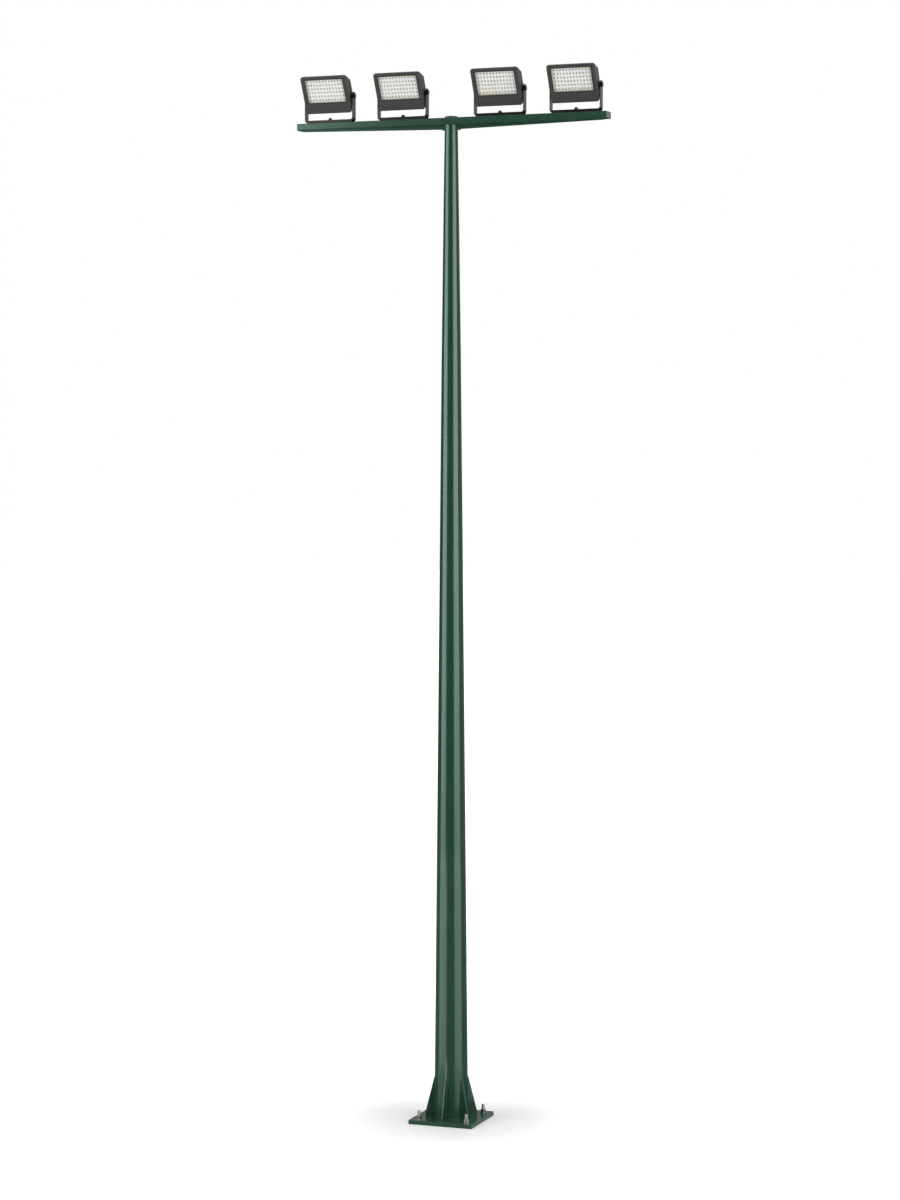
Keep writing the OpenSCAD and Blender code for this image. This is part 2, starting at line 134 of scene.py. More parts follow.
class PoleDetails(bpy.types.PropertyGroup):
    plate_edge: length("Plate edge", "Rounding of the thick plates' edges", 2.0)
    sheet_edge: length("Sheet edge", "Rounding of the thin steel edges", 0.6)
    cast_edge: length("Cast edge", "Rounding of the castings' edges", 0.9)
    cap_edge: length("Cap edge", "Rounding of the mast's cap", 0.8)
    small_edge: length("Small edge", "Rounding of the nuts, washers, yoke bolts and glass", 0.4)
    head_edge: length("Head edge", "Rounding of the pivot bolts' heads", 1.4)
    moulded_edge: length("Moulded edge", "Rounding of the glands and of the bezels' grooves", 0.5)
    gasket_edge: length("Gasket edge", "Rounding of the gaskets", 0.3)
    shaft_wall: length("Shaft wall", "Thickness of the shaft's wall", 4.0)
    weld: length("Weld", "Radius of the weld beads", 4.0)
    pitch: length("Thread pitch", "Pitch of the anchor threads", 2.5)
    groove_inset: length("Groove inset", "Distance of the bezel's groove from its edge", 2.2)
    groove_width: length("Groove width", "Width of the bezel's groove", 2.4)
    groove_depth: length("Groove depth", "Depth of the bezel's groove", 2.0)
    rim: length("Window rim", "Width of the sunk rim round the window", 7.0)
    rim_sink: length("Rim depth", "Depth of the sunk rim", 2.0)
    rim_corner: length("Rim corner", "Radius of the sunk rim's corners", 5.0)
    lip: length("Window lip", "Thickness of the lip in front of the glass", 2.0)
    glass_lap: length("Glass lap", "Width of the glass behind the lip", 5.0)
    bezel_corner: length("Bezel corner", "Radius of the bezel's corners", 13.0)
    gasket: length("Gasket", "Thickness of the gasket in the rim", 0.9)
    board_border: length("Board border", "Width of the cream border of the lamp boards", 10.0)
    chip_w: length("Chip width", "Width of each light chip", 10.5)
    chip_h: length("Chip height", "Height of each light chip", 12.5)
    chip_t: length("Chip thickness", "Distance that each light chip stands off its board", 1.4)
    chip_pitch_x: length("Chip pitch across", "Spacing of the chips along a row", 19.5)
    chip_pitch_z: length("Chip pitch up", "Spacing of the rows", 23.0)
    columns: count("Columns", "Chips in each row", 12)
    rows: count("Rows", "Rows of chips", 6)


class PoleStudio(bpy.types.PropertyGroup):
    left_power: power("Left softbox", "Power of the left softbox", 200)
    right_power: power("Right softbox", "Power of the right softbox", 170)
    back_power: power("Back softbox", "Power of the softbox behind", 110)
    strip: strength("Strip lights", "Brightness of the tall strips that the paint mirrors", 4.8)
    sky: strength("Fill", "Strength of the soft fill from all round", 0.42)
    # the floor's glow right at the base; it rises towards 1 away from the mast, so the floor is
    # painted darker round the base: a painted shadow that deepens and widens the rendered one
    floor_glow_painted_shadow: strength("Floor white", "Lift that keeps the floor white round the base", 0.26)


# ---- meshes ----


def keep_creases(bm):
    """Edges sharper than the crease angle shade as sharp."""
    for edge in bm.edges:
        if len(edge.link_faces) == 2 and edge.calc_face_angle(0) > CREASE_ANGLE:
            edge.smooth = False


def add_piece(name, bm, finishes, body, nodes=()):
    """A new object from the bmesh, riding on a body and standing for CAD nodes."""
    bmesh.ops.recalc_face_normals(bm, faces=bm.faces)
    for face in bm.faces:
        face.smooth = True
    keep_creases(bm)
    mesh = bpy.data.meshes.new(name)
    bm.to_mesh(mesh)
    bm.free()
    piece = bpy.data.objects.new(name, mesh)
    bpy.context.scene.collection.objects.link(piece)
    for finish in finishes:
        mesh.materials.append(finish)
    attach(piece, body)
    if nodes:
        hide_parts(*nodes)
    return piece


def round_edges(piece, width, segments=2):
    bevel = piece.modifiers.new("Rounded edges", "BEVEL")
    bevel.width = width
    bevel.segments = segments
    bevel.limit_method = "ANGLE"
    bevel.angle_limit = CREASE_ANGLE
    bevel.use_clamp_overlap = True
    bevel.harden_normals = True


def joined_copy(node):
    """A CAD node's triangles joined into one skin, with its flat faces made whole."""
    bm = bmesh.new()
    bm.from_mesh(frame["nodes"][node].data)
    bmesh.ops.remove_doubles(bm, verts=bm.verts, dist=MERGE_DISTANCE)
    bmesh.ops.dissolve_limit(
        bm, angle_limit=FLAT_ANGLE, verts=bm.verts, edges=bm.edges, use_dissolve_boundaries=False
    )
    return bm


def finished_node(node, suffix, finish, edge):
    """The node with rounded edges and its own finish, in place of the plain one."""
    body = frame["nodes"][node]["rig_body"]
    piece = add_piece(f"{node}_{suffix}", joined_copy(node), [finish], body, [node])
    if edge:
        round_edges(piece, edge)
    return piece


def upright_outline(bm, outline):
    """Vertices and edges through (radius, height) pairs, in the plane of X and Z."""
    verts = [bm.verts.new((radius, 0, height)) for radius, height in outline]
    return verts + [bm.edges.new(pair) for pair in zip(verts, verts[1:])]


def spin(bm, geom, angle, steps, rise=0, merge=False):
    """Sweeps vertices and edges round the vertical axis, rising at each step."""
    bmesh.ops.spin(
        bm, geom=geom, cent=(0, 0, 0), axis=(0, 0, 1), dvec=(0, 0, rise), angle=angle,
        steps=steps, use_merge=merge, use_normal_flip=False, use_duplicate=False,
    )


def full_turn(bm, geom, steps):
    """Spins once round and joins the end to the start, and what meets on the axis."""
    spin(bm, geom, math.tau, steps, merge=True)
    bmesh.ops.remove_doubles(bm, verts=bm.verts, dist=MERGE_DISTANCE)


def lathe(bm, outline, steps):
    """A turned shape from an outline of (radius, height) pairs."""
    full_turn(bm, upright_outline(bm, outline), steps)


def weld_rod(bm, start, end, radius):
    """A half-sunk rod of weld along a straight joint."""
    start, end = Vector(start), Vector(end)
    along = end - start
    turn = along.to_track_quat("Z", "Y").to_matrix().to_4x4()
    place = Matrix.Translation((start + end) / 2) @ turn
    bmesh.ops.create_cone(
        bm, cap_ends=True, cap_tris=False, segments=BEAD_SEGMENTS, radius1=radius, radius2=radius,
        depth=along.length, matrix=place,
    )


def weld_ring(bm, ring_radius, height, radius):
    """A bead of weld round the mast."""
    centre = Vector((ring_radius, 0, height))
    place = Matrix.Translation(centre) @ Matrix.Rotation(math.pi / 2, 4, "X")
    verts = bmesh.ops.create_circle(
        bm, cap_ends=False, segments=BEAD_SEGMENTS, radius=radius, matrix=place
    )["verts"]
    full_turn(bm, verts + list({edge for vert in verts for edge in vert.link_edges}), 96)


def merge_into(target, source):
    """Adds one bmesh to another and frees it."""
    mesh = bpy.data.meshes.new("merging")
    source.to_mesh(mesh)
    source.free()
    target.from_mesh(mesh)
    bpy.data.meshes.remove(mesh)


def square_outline(bm, width, height, middle, depth):
    """A face in an upright plane that looks towards -Y."""
    x, z = width / 2, height / 2
    corners = [(-x, -z), (x, -z), (x, z), (-x, z)]
    return bm.faces.new([bm.verts.new((cx, depth, middle + cz)) for cx, cz in corners])


def rounded_outline(bm, width, height, radius, middle, depth):
    """The same face with rounded corners."""
    square = square_outline(bm, width, height, middle, depth)
    made = bmesh.ops.bevel(
        bm, geom=list(square.verts), offset=radius, segments=6, profile=0.5,
        affect="VERTICES", material=-1,
    )
    return made["verts"][0].link_faces[0]


def loop_of(face):
    return list(face.edges)


def outline_loop(bm, width, height, radius, middle, depth):
    """Only the edges of a rounded outline."""
    face = rounded_outline(bm, width, height, radius, middle, depth)
    loop = loop_of(face)
    bmesh.ops.delete(bm, geom=[face], context="FACES_ONLY")
    return loop


def push(bm, edges, offset=(0, 0, 0), scale=(1, 1, 1), about=(0, 0, 0)):
    """Extrudes a loop of edges and moves or widens the new loop. Returns its edges."""
    made = bmesh.ops.extrude_edge_only(bm, edges=edges)["geom"]
    verts = [item for item in made if isinstance(item, bmesh.types.BMVert)]
    space = Matrix.Translation(-Vector(about))
    bmesh.ops.scale(bm, vec=Vector(scale), space=space, verts=verts)
    bmesh.ops.translate(bm, vec=Vector(offset), verts=verts)
    fresh = set(verts)
    edges = [item for item in made if isinstance(item, bmesh.types.BMEdge)]
    return [edge for edge in edges if fresh.issuperset(edge.verts)]


def fill_between(bm, outer, inner):
    """Closes the flat upright area between two loops of edges."""
    bmesh.ops.triangle_fill(
        bm, edges=outer + inner, normal=(0, -1, 0), use_beauty=True, use_dissolve=False
    )


def shaft_levels():
    """Heights and outer radii of the shaft's ends and of the place where its taper steepens."""
    levels = {}
    for vert in frame["nodes"]["mast_shaft"].data.vertices:
        levels.setdefault(round(vert.co.z, 5), []).append(vert.co.xy.length)
    return [(z, max(radii)) for z, radii in sorted(levels.items()) if max(radii) - min(radii) > MM]


SHAFT_LEVELS = shaft_levels()


def radius_at(height):
    """Outer radius of the mast's shaft at a height."""
    for (low, low_r), (high, high_r) in zip(SHAFT_LEVELS, SHAFT_LEVELS[1:]):
        if height <= high:
            break
    return low_r + (high_r - low_r) * (height - low) / (high - low)


def lamp_place(body):
    """Matrix from a floodlight's upright frame, centred on its pivot, to its place on the pole."""
    faces = frame["nodes"][f"{body}_glass"].data.polygons
    facing = max(faces, key=lambda face: face.area * (face.normal.y < 0)).normal
    tilt = math.atan2(-facing.z, -facing.y)
    return Matrix.Translation(JOINT_PLACES[body]) @ Matrix.Rotation(tilt, 4, "X")


def upright_box(node, place):
    """Lowest and highest corner of a node in a floodlight's upright frame."""
    back = place.inverted()
    points = [back @ vert.co for vert in frame["nodes"][node].data.vertices]
    low = Vector([min(point[axis] for point in points) for axis in range(3)])
    high = Vector([max(point[axis] for point in points) for axis in range(3)])
    return low, high


# ---- shader node groups shared by the finishes ----


def new_group(name, inputs, outputs):
    """An empty group with its sockets. Each socket is (name, kind, default)."""
    tree = bpy.data.node_groups.new(name, "ShaderNodeTree")
    for in_out, sockets in (("INPUT", inputs), ("OUTPUT", outputs)):
        for label, kind, default in sockets:
            socket = tree.interface.new_socket(
                label, in_out=in_out, socket_type=f"NodeSocket{kind}"
            )
            if default is not None:
                socket.default_value = default
    entry = tree.nodes.new("NodeGroupInput")
    leave = tree.nodes.new("NodeGroupOutput")
    return tree, entry, leave


def add_node(tree, kind, values=None, **settings):
    """A node with its settings and the values of its sockets."""
    node = tree.nodes.new(kind)
    for key, value in settings.items():
        setattr(node, key, value)
    for key, value in (values or {}).items():
        node.inputs[key].default_value = value
    return node


def wire(tree, *rows):
    """Links sockets. Each row is (node, its output, node, its input)."""
    for source, output, target, entry in rows:
        tree.links.new(source.outputs[output], target.inputs[entry])


def tone_drift_group():
    """Slow changes of tone over a painted or cast surface."""
    tree, entry, leave = new_group(
        "Tone drift",
        [("Color", "Color", (0.5, 0.5, 0.5, 1)), ("Scale", "Float", 3.0), ("Amount", "Float", 0.1)],
        [("Color", "Color", None)],
    )
    coordinates = add_node(tree, "ShaderNodeTexCoord")
    noise = add_node(tree, "ShaderNodeTexNoise", {"Detail": 4.0, "Roughness": 0.55})
    spread = add_node(tree, "ShaderNodeMapRange", {"From Min": 0.3, "From Max": 0.7})
    low = add_node(tree, "ShaderNodeMath", {0: 1.0}, operation="SUBTRACT")
    high = add_node(tree, "ShaderNodeMath", {0: 1.0}, operation="ADD")
    tint = add_node(tree, "ShaderNodeVectorMath", operation="SCALE")
    wire(
        tree,
        (coordinates, "Object", noise, "Vector"),
        (entry, "Scale", noise, "Scale"),
        (noise, "Fac", spread, "Value"),
        (entry, "Amount", low, 1),
        (entry, "Amount", high, 1),
        (low, 0, spread, "To Min"),
        (high, 0, spread, "To Max"),
        (entry, "Color", tint, 0),
        (spread, "Result", tint, "Scale"),
        (tint, 0, leave, "Color"),
    )
    return tree


def surface_grain_group():
    """Fine unevenness: a height for bump and a roughness that drifts with it."""
    tree, entry, leave = new_group(
        "Surface grain",
        [("Scale", "Float", 600.0), ("Roughness", "Float", 0.35), ("Spread", "Float", 0.05)],
        [("Height", "Float", None), ("Roughness", "Float", None)],
    )
    coordinates = add_node(tree, "ShaderNodeTexCoord")
    fine = add_node(tree, "ShaderNodeTexNoise", {"Detail": 2.0, "Roughness": 0.5})
    broad = add_node(
        tree, "ShaderNodeTexNoise", {"Scale": 14.0, "Detail": 3.0, "Roughness": 0.6}
    )
    centred = add_node(tree, "ShaderNodeMath", {1: 0.5}, operation="SUBTRACT")
    scaled = add_node(tree, "ShaderNodeMath", operation="MULTIPLY")
    total = add_node(tree, "ShaderNodeMath", operation="ADD", use_clamp=True)
    wire(
        tree,
        (coordinates, "Object", fine, "Vector"),
        (coordinates, "Object", broad, "Vector"),
        (entry, "Scale", fine, "Scale"),
        (fine, "Fac", leave, "Height"),
        (broad, "Fac", centred, 0),
        (centred, 0, scaled, 0),
        (entry, "Spread", scaled, 1),
        (scaled, 0, total, 0),
        (entry, "Roughness", total, 1),
        (total, 0, leave, "Roughness"),
    )
    return tree


def break_up(tree, entry, leave, source, noise_values):
    """Breaks a value up with noise and puts the wanted amount of it out as the mask."""
    coordinates = add_node(tree, "ShaderNodeTexCoord")
    noise = add_node(tree, "ShaderNodeTexNoise", noise_values)
    broken = add_node(tree, "ShaderNodeMath", operation="MULTIPLY")
    mask = add_node(tree, "ShaderNodeMath", operation="MULTIPLY", use_clamp=True)
    wire(
        tree,
        (coordinates, "Object", noise, "Vector"),
        (source, "Result", broken, 0),
        (noise, "Fac", broken, 1),
        (broken, 0, mask, 0),
        (entry, "Amount", mask, 1),
        (mask, 0, leave, "Mask"),
    )


def painted_edge_highlight_group():
    """Painted highlight along the edges: a paler colour there, as a mask broken up by noise."""
    tree, entry, leave = new_group(
        "Painted edge highlight",
        [("Radius", "Float", 0.002), ("Amount", "Float", 0.5)],
        [("Mask", "Float", None)],
    )
    rounded = add_node(tree, "ShaderNodeBevel", samples=4)
    surface = add_node(tree, "ShaderNodeNewGeometry")
    facing = add_node(tree, "ShaderNodeVectorMath", operation="DOT_PRODUCT")
    edge = add_node(tree, "ShaderNodeMapRange", {"From Min": 0.995, "From Max": 0.85})
    wire(
        tree,
        (entry, "Radius", rounded, "Radius"),
        (rounded, "Normal", facing, 0),
        (surface, "Normal", facing, 1),
        (facing, "Value", edge, "Value"),
    )
    break_up(tree, entry, leave, edge, {"Scale": 90.0, "Detail": 3.0})
    return tree


def settled_dust_group():
    """Fine dust on faces that look up, thinned by noise."""
    tree, entry, leave = new_group(
        "Settled dust",
        [("Amount", "Float", 0.2)],
        [("Mask", "Float", None)],
    )
    surface = add_node(tree, "ShaderNodeNewGeometry")
    split = add_node(tree, "ShaderNodeSeparateXYZ")
    upward = add_node(tree, "ShaderNodeMapRange", {"From Min": 0.6, "From Max": 1.0})
    wire(
        tree,
        (surface, "Normal", split, 0),
        (split, "Z", upward, "Value"),
    )
    break_up(tree, entry, leave, upward, {"Scale": 22.0, "Detail": 5.0, "Roughness": 0.65})
    return tree


GROUP_MAKERS = {
    "Tone drift": tone_drift_group,
    "Surface grain": surface_grain_group,
    "Painted edge highlight": painted_edge_highlight_group,
    "Settled dust": settled_dust_group,
}


def use_group(tree, name, values=None):
    """Places a shared group, building it the first time."""
    group = bpy.data.node_groups.get(name) or GROUP_MAKERS[name]()
    return add_node(tree, "ShaderNodeGroup", values, node_tree=group)


# ---- finishes ----


def blank_finish(name):
    finish = bpy.data.materials.new(name)
    finish.use_nodes = True
    tree = finish.node_tree
    return finish, tree, tree.nodes["Principled BSDF"]


def textured_finish(name, base, scale, roughness, spread, bump, drift=0.08, drift_scale=3.0):
    """A finish whose tone, roughness and fine relief change over the surface."""
    finish, tree, shader = blank_finish(name)
    tone = use_group(
        tree, "Tone drift", {"Color": (*base, 1), "Scale": drift_scale, "Amount": drift}
    )
    grain = use_group(
        tree, "Surface grain", {"Scale": scale, "Roughness": roughness, "Spread": spread}
    )
    relief = add_node(tree, "ShaderNodeBump", {"Strength": 1.0, "Distance": bump})
    wire(
        tree,
        (tone, "Color", shader, "Base Color"),
        (grain, "Roughness", shader, "Roughness"),
        (grain, "Height", relief, "Height"),
        (relief, "Normal", shader, "Normal"),
    )
    return finish


def lay_over(finish, group, values, colour_over):
    """Lays a colour over the finish's base colour where a shared group's mask is."""
    tree = finish.node_tree
    shader = tree.nodes["Principled BSDF"]
    below = shader.inputs["Base Color"].links[0].from_socket
    mask = use_group(tree, group, values)
    mix = add_node(tree, "ShaderNodeMix", data_type="RGBA", clamp_result=True)
    mix.inputs["B"].default_value = (*colour_over, 1)
    tree.links.new(below, mix.inputs["A"])
    wire(
        tree,
        (mask, "Mask", mix, "Factor"),
        (mix, "Result", shader, "Base Color"),
    )


def lighter(base, share):
    return [channel + (1 - channel) * share for channel in base]


def painted_steel(colours):
    finish = textured_finish("Moss green paint", colours.paint, 700.0, 0.18, 0.05, 0.00001)
    shader = finish.node_tree.nodes["Principled BSDF"]
    shader.inputs["Specular Tint"].default_value = (0.84, 1.0, 0.90, 1)
    # paler edges: a painted highlight along the paint's edges
    lay_over(finish, "Painted edge highlight", {"Radius": 0.002, "Amount": 0.5}, lighter(colours.paint, 0.18))
    lay_over(finish, "Settled dust", {"Amount": 0.12}, colours.dust)
    return finish


def cast_grey(colours):
    finish = textured_finish("Grey cast powder coat", colours.casting, 1400.0, 0.46, 0.10, 0.00006)
    # paler edges: a painted highlight along the casting's edges
    lay_over(finish, "Painted edge highlight", {"Radius": 0.0015, "Amount": 0.7}, lighter(colours.casting, 0.20))
    return finish


def black_coat(colours):
    finish = textured_finish("Black strap coat", colours.yoke, 1200.0, 0.22, 0.06, 0.00003)
    shader = finish.node_tree.nodes["Principled BSDF"]
    shader.inputs["Specular IOR Level"].default_value = 0.3
    # paler edges: a painted highlight along the strap coat's edges
    lay_over(finish, "Painted edge highlight", {"Radius": 0.001, "Amount": 0.8}, lighter(colours.yoke, 0.20))
    return finish


def plated_zinc(colours):
    finish = textured_finish(
        "Bright zinc plate", colours.zinc, 2500.0, 0.15, 0.12, 0.00002, drift=0.14, drift_scale=60.0
    )
    finish.node_tree.nodes["Principled BSDF"].inputs["Metallic"].default_value = 1.0
    return finish


def clear_glass(colours):
    finish, tree, shader = blank_finish("Clear window glass")
    grain = use_group(tree, "Surface grain", {"Scale": 30.0, "Roughness": 0.04, "Spread": 0.03})
    tone = use_group(
        tree, "Tone drift", {"Color": (*colours.glass, 1), "Scale": 8.0, "Amount": 0.02}
    )
    wire(
        tree,
        (grain, "Roughness", shader, "Roughness"),
        (tone, "Color", shader, "Base Color"),
    )
    shader.inputs["Alpha"].default_value = 0.08
    finish.surface_render_method = "BLENDED"
    return finish


def board_mask(colours):
    return textured_finish("White lamp board", colours.mask, 900.0, 0.42, 0.06, 0.00002, 0.02)


def board_border(colours):
    return textured_finish("Cream board border", colours.border, 900.0, 0.45, 0.06, 0.00002, 0.04)


def chip_package(colours):
    pale = lighter(colours.mask, 0.3)
    return textured_finish("Chip package", pale, 900.0, 0.35, 0.05, 0.00002, 0.02)


def chip_phosphor(colours):
    return textured_finish("Chip phosphor", colours.chip, 2600.0, 0.50, 0.10, 0.00004, 0.22, 40.0)


def black_rubber(colours):
    return textured_finish("Black rubber", colours.rubber, 1800.0, 0.62, 0.12, 0.00005)


# ---- mast, base and crossbar ----


class PoleOperator:
    """Shared settings of the operators that build the pole."""

    bl_options = {"REGISTER", "UNDO"}

    @property
    def colours(self):
        return bpy.context.scene.pole_colours

    @property
    def details(self):
        return bpy.context.scene.pole_details

    def finish(self, maker):
        """A finish, made the first time that it is asked for."""
        scene, key = bpy.context.scene, f"made_{maker.__name__}"
        if key not in scene:
            scene[key] = maker(self.colours).name
        return bpy.data.materials[scene[key]]


class POLE_OT_mast(PoleOperator, bpy.types.Operator):
    """Builds the smooth conical shaft and its welded cap"""

    bl_idname = "pole.mast"
    bl_label = "Mast"

    def execute(self, context):
        paint = self.finish(painted_steel)
        low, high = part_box("mast_shaft")
        rings = 24
        heights = {low.z + (high.z - low.z) * step / rings for step in range(rings + 1)}
        heights = sorted(heights | {height for height, radius in SHAFT_LEVELS})
        outline = [(radius_at(z), z) for z in heights]
        outline += [(radius_at(z) - self.details.shaft_wall, z) for z in reversed(heights)]
        outline.append(outline[0])
        bm = bmesh.new()
        lathe(bm, outline, 128)
        add_piece("mast_shaft_painted", bm, [paint], "mast", ["mast_shaft"])
        finished_node("mast_cap", "painted", paint, self.details.cap_edge)
        return {"FINISHED"}


class POLE_OT_base(PoleOperator, bpy.types.Operator):
    """Builds the base plate, the gussets and the welds that join them to the shaft"""

    bl_idname = "pole.base"
    bl_label = "Base"

    def execute(self, context):
        paint = self.finish(painted_steel)
        finished_node("base_plate", "painted", paint, self.details.plate_edge)
        finished_node("base_gussets", "painted", paint, self.details.plate_edge)
        plate_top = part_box("base_plate")[1].z
        gusset_low, gusset_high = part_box("base_gussets")
        weld = self.details.weld
        rod = weld * 0.8
        gussets, half_sheet = 6, 5 * MM
        foot = radius_at(plate_top)
        toe = -gusset_low.y - weld
        top = gusset_high.z - 2 * weld
        bm = bmesh.new()
        weld_ring(bm, foot + weld * 0.2, plate_top, weld)
        for k in range(gussets):
            turn = Matrix.Rotation(math.tau * k / gussets - math.pi / 2, 4, "Z")
            for side in (-half_sheet, half_sheet):
                corner = turn @ Vector((foot, side, plate_top))
                weld_rod(bm, corner, turn @ Vector((toe, side, plate_top)), rod)
                weld_rod(bm, corner, turn @ Vector((radius_at(top), side, top)), rod)
        add_piece("base_welds", bm, [paint], "mast")
        return {"FINISHED"}


class POLE_OT_anchors(PoleOperator, bpy.types.Operator):
    """Builds the threaded anchor studs with their nuts and washers"""

    bl_idname = "pole.anchors"
    bl_label = "Anchors"

    def thread(self, bm, radius, low, high):
        """A screw thread from low to high, cut flat and closed at both ends."""
        pitch = self.details.pitch
        root = radius - pitch / 2
        turns = math.ceil((high - low) / pitch) + 2
        start = low - pitch
        steps = 28
        ridge = upright_outline(
            bm, [(root, start), (radius, start + pitch / 2), (root, start + pitch)]
        )
        spin(bm, ridge, math.tau * turns, steps * turns, rise=pitch / steps)
        bmesh.ops.remove_doubles(bm, verts=bm.verts, dist=20 * MERGE_DISTANCE)
        for plane, direction in ((low, -1), (high, 1)):
            everything = bm.verts[:] + bm.edges[:] + bm.faces[:]
            cut = bmesh.ops.bisect_plane(
                bm, geom=everything, dist=MERGE_DISTANCE, plane_co=(0, 0, plane),
                plane_no=(0, 0, direction), clear_outer=True,
            )
            rim = [item for item in cut["geom_cut"] if isinstance(item, bmesh.types.BMEdge)]
            bmesh.ops.holes_fill(bm, edges=rim)

    def execute(self, context):
        zinc = self.finish(plated_zinc)
        low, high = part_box("anchor_studs")
        shank = 10 * MM
        thread = 9.8 * MM
        root = thread - self.details.pitch / 2
        thread_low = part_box("anchor_nuts")[1].z - 2 * MM
        tip_low, tip_bevel = high.z - 2 * MM, 0.3 * MM
        tip = [(0, tip_low), (thread - tip_bevel, tip_low), (root, high.z), (0, high.z)]
        bar = [(0, low.z), (shank, low.z), (shank, thread_low), (0, thread_low)]
        studs = bmesh.new()
        for x in (low.x + shank, high.x - shank):
            for y in (low.y + shank, high.y - shank):
                stud = bmesh.new()
                self.thread(stud, thread, thread_low, tip_low)
                lathe(stud, bar, 32)
                lathe(stud, tip, 32)
                bmesh.ops.translate(stud, vec=(x, y, 0), verts=stud.verts)
                merge_into(studs, stud)
        slot, edge = "galvanised_steel", self.details.small_edge
        add_piece("anchor_studs_threaded", studs, [zinc], "mast", ["anchor_studs"])
        finished_node("anchor_nuts", "plated", zinc, edge)
        finished_node("anchor_washers", "plated", zinc, edge)
        return {"FINISHED"}


class POLE_OT_crossbar(PoleOperator, bpy.types.Operator):
    """Builds the crossbar, its end plates and ribs, and the welds at the mast"""

    bl_idname = "pole.crossbar"
    bl_label = "Crossbar"

    def execute(self, context):
        paint = self.finish(painted_steel)
        finished_node("crossbar_tube", "painted", paint, 0)
        for part in ("end_cap", "rib"):
            for side in ("left", "right"):
                node, edge = f"crossbar_{part}_{side}", self.details.sheet_edge
                finished_node(node, "painted", paint, edge)
        low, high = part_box("crossbar_tube")
        rib_low, rib_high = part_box("crossbar_rib_right")
        ring = self.details.weld * 0.7
        rod = ring * 0.7
        half_rib, root_gap = 4 * MM, 12 * MM
        bm = bmesh.new()
        for height in (high.z, low.z):
            weld_ring(bm, radius_at(height) + ring * 0.1, height, ring)
        for side in (-half_rib, half_rib):
            for sign in (-1, 1):
                start, end = sign * (rib_low.x + root_gap), sign * (rib_high.x - ring)
                weld_rod(bm, (start, side, low.z), (end, side, low.z), rod)
        add_piece("crossbar_welds", bm, [paint], "mast")
        return {"FINISHED"}


# ---- floodlights ----


class POLE_OT_yokes(PoleOperator, bpy.types.Operator):
    """Builds the yokes, the bolts that hold them and the pivot bolts"""

    bl_idname = "pole.yokes"
    bl_label = "Yokes"

    def execute(self, context):
        d = self.details
        black = self.finish(black_coat)
        parts = {"yoke": d.sheet_edge, "yoke_bolt": d.small_edge, "pivot_bolts": d.head_edge}
        for body in LAMP_BODIES:
            for part, edge in parts.items():
                finished_node(f"{body}_{part}", "coated", black, edge)
        return {"FINISHED"}


class POLE_OT_housings(PoleOperator, bpy.types.Operator):
    """Builds the finned housings and their cable glands"""

    bl_idname = "pole.housings"
    bl_label = "Housings"

    def execute(self, context):
        d = self.details
        grey = self.finish(cast_grey)
        rubber = self.finish(black_rubber)
        for body in LAMP_BODIES:
            finished_node(f"{body}_housing", "cast", grey, d.cast_edge)
            gland = f"{body}_cable_gland"
            finished_node(gland, "moulded", rubber, d.moulded_edge)
        return {"FINISHED"}


